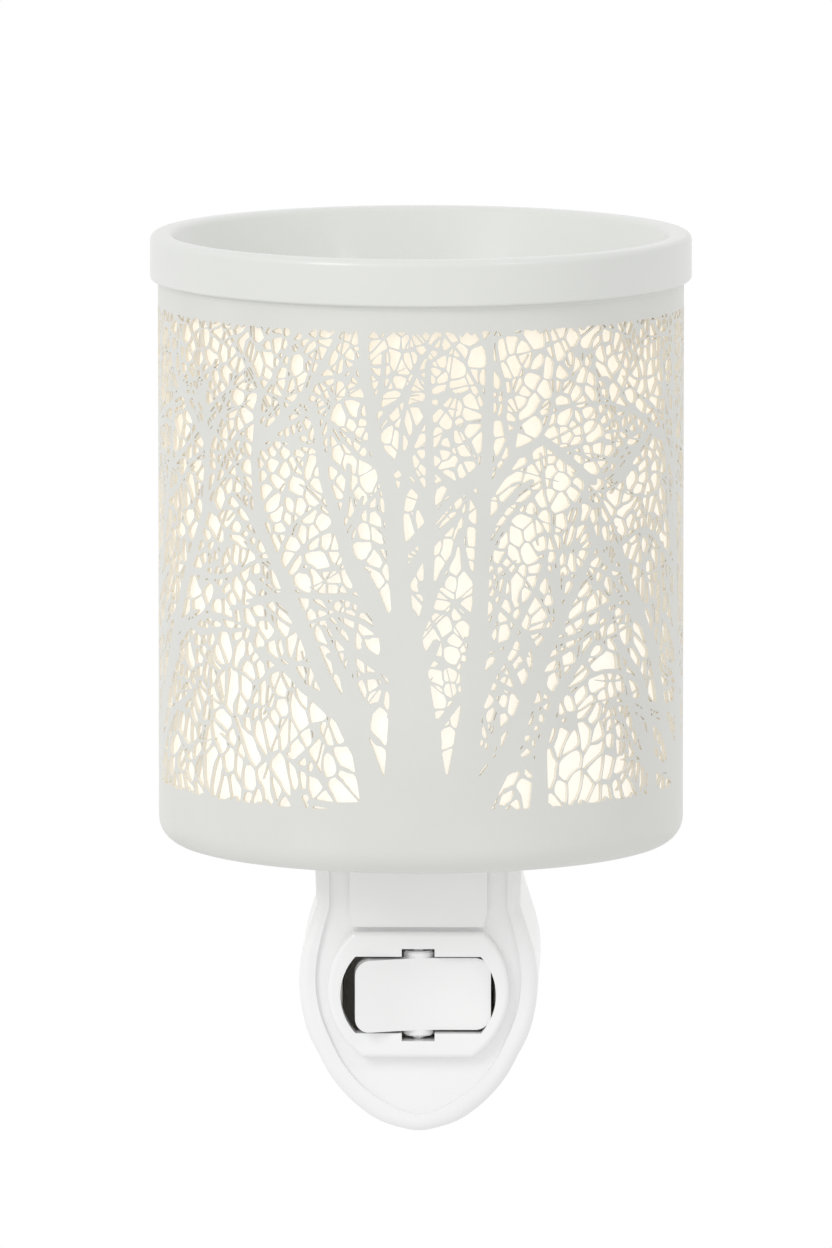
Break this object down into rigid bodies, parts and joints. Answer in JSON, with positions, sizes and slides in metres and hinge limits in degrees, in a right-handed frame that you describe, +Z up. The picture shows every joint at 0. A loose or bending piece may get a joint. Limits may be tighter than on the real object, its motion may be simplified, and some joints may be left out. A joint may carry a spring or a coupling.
{
  "type": "wax melt warmer",
  "caption": "Plug-in wax melt warmer: lit pierced metal shade with a tree pattern, glossy wax dish on top, rocker switch housing and swivelling wall plug.",
  "frame": {"origin": "middle of the swivel plug's back face, which lies on the wall plate", "axes": "+Z up along the shade, +Y back into the wall along the blades, +X to the viewer's right"},
  "size_m": [0.0874, 0.1097, 0.1438],
  "materials": {
    "dish_glaze": "glossy warm white glaze",
    "shade_paint": "satin warm white enamel",
    "frosted_liner": "frosted, lit warm white from inside",
    "lamp_glass": "clear",
    "brass": "bright stamped",
    "black_insulator": "black glass",
    "solder": "dull solder",
    "filament_wire": "fine drawn wire",
    "holder_plastic": "moulded insulating plastic",
    "fibre": "red fibre sheet",
    "housing_plastic": "glossy moulded white",
    "rocker_plastic": "glossy moulded white",
    "screw_steel": "zinc plated",
    "spring_steel": "drawn steel",
    "blade_nickel": "nickel plated brass"
  },
  "bodies": {
    "wall_plug": {"swivel_disc": "housing_plastic", "retaining_ring": "spring_steel", "blade_line": "blade_nickel", "blade_neutral": "blade_nickel", "contact_carrier": "holder_plastic", "slip_ring_line": "brass", "slip_pin_neutral": "brass"},
    "lamp_bulb": {"bulb_glass": "lamp_glass", "bulb_cap": "brass", "bulb_insulator": "black_insulator", "bulb_contact": "solder", "bulb_stem": "lamp_glass", "filament": "filament_wire"},
    "rocker_key": {"rocker": "rocker_plastic", "rocker_plunger": "holder_plastic", "rocker_spring": "spring_steel"},
    "seesaw": {"contact_seesaw": "brass"},
    "dish": {"wax_dish": "dish_glaze"},
    "warmer": {"shade": "shade_paint", "diffuser_sleeve": "frosted_liner", "lampholder_body": "holder_plastic", "screw_shell": "brass", "centre_contact": "brass", "ring_nut": "holder_plastic", "fibre_washer": "fibre", "front_shell": "housing_plastic", "rear_shell": "housing_plastic", "housing_screws": "screw_steel", "switch_base": "holder_plastic", "terminal_line": "brass", "terminal_load": "brass", "line_strip": "brass", "neutral_strip": "brass"}
  },
  "joints": [
    {"name": "plug_swivel", "type": "hinge", "parent": "wall_plug", "child": "warmer", "pos_m": [0, 0, 0], "axis": [0, 1, 0], "range_deg": [-90, 90]},
    {"name": "rocker_tilt", "type": "hinge", "parent": "warmer", "child": "rocker_key", "pos_m": [0, -0.0666, 0], "axis": [0, 0, -1], "range_deg": [0, 22]},
    {"name": "seesaw_tilt", "type": "hinge", "parent": "warmer", "child": "seesaw", "pos_m": [0, -0.0581, 0], "axis": [0, 0, 1], "range_deg": [0, 16]},
    {"name": "dish_lift", "type": "slide", "parent": "warmer", "child": "dish", "axis": [0, 0, 1], "range_m": [0, 0.045]},
    {"name": "lamp_unscrew", "type": "slide", "parent": "warmer", "child": "lamp_bulb", "axis": [0, 0, 1], "range_m": [0, 0.01]}
  ],
  "couplings": [
    {"joint": "seesaw_tilt", "follows": "rocker_tilt", "ratio": 0.72727}
  ]
}
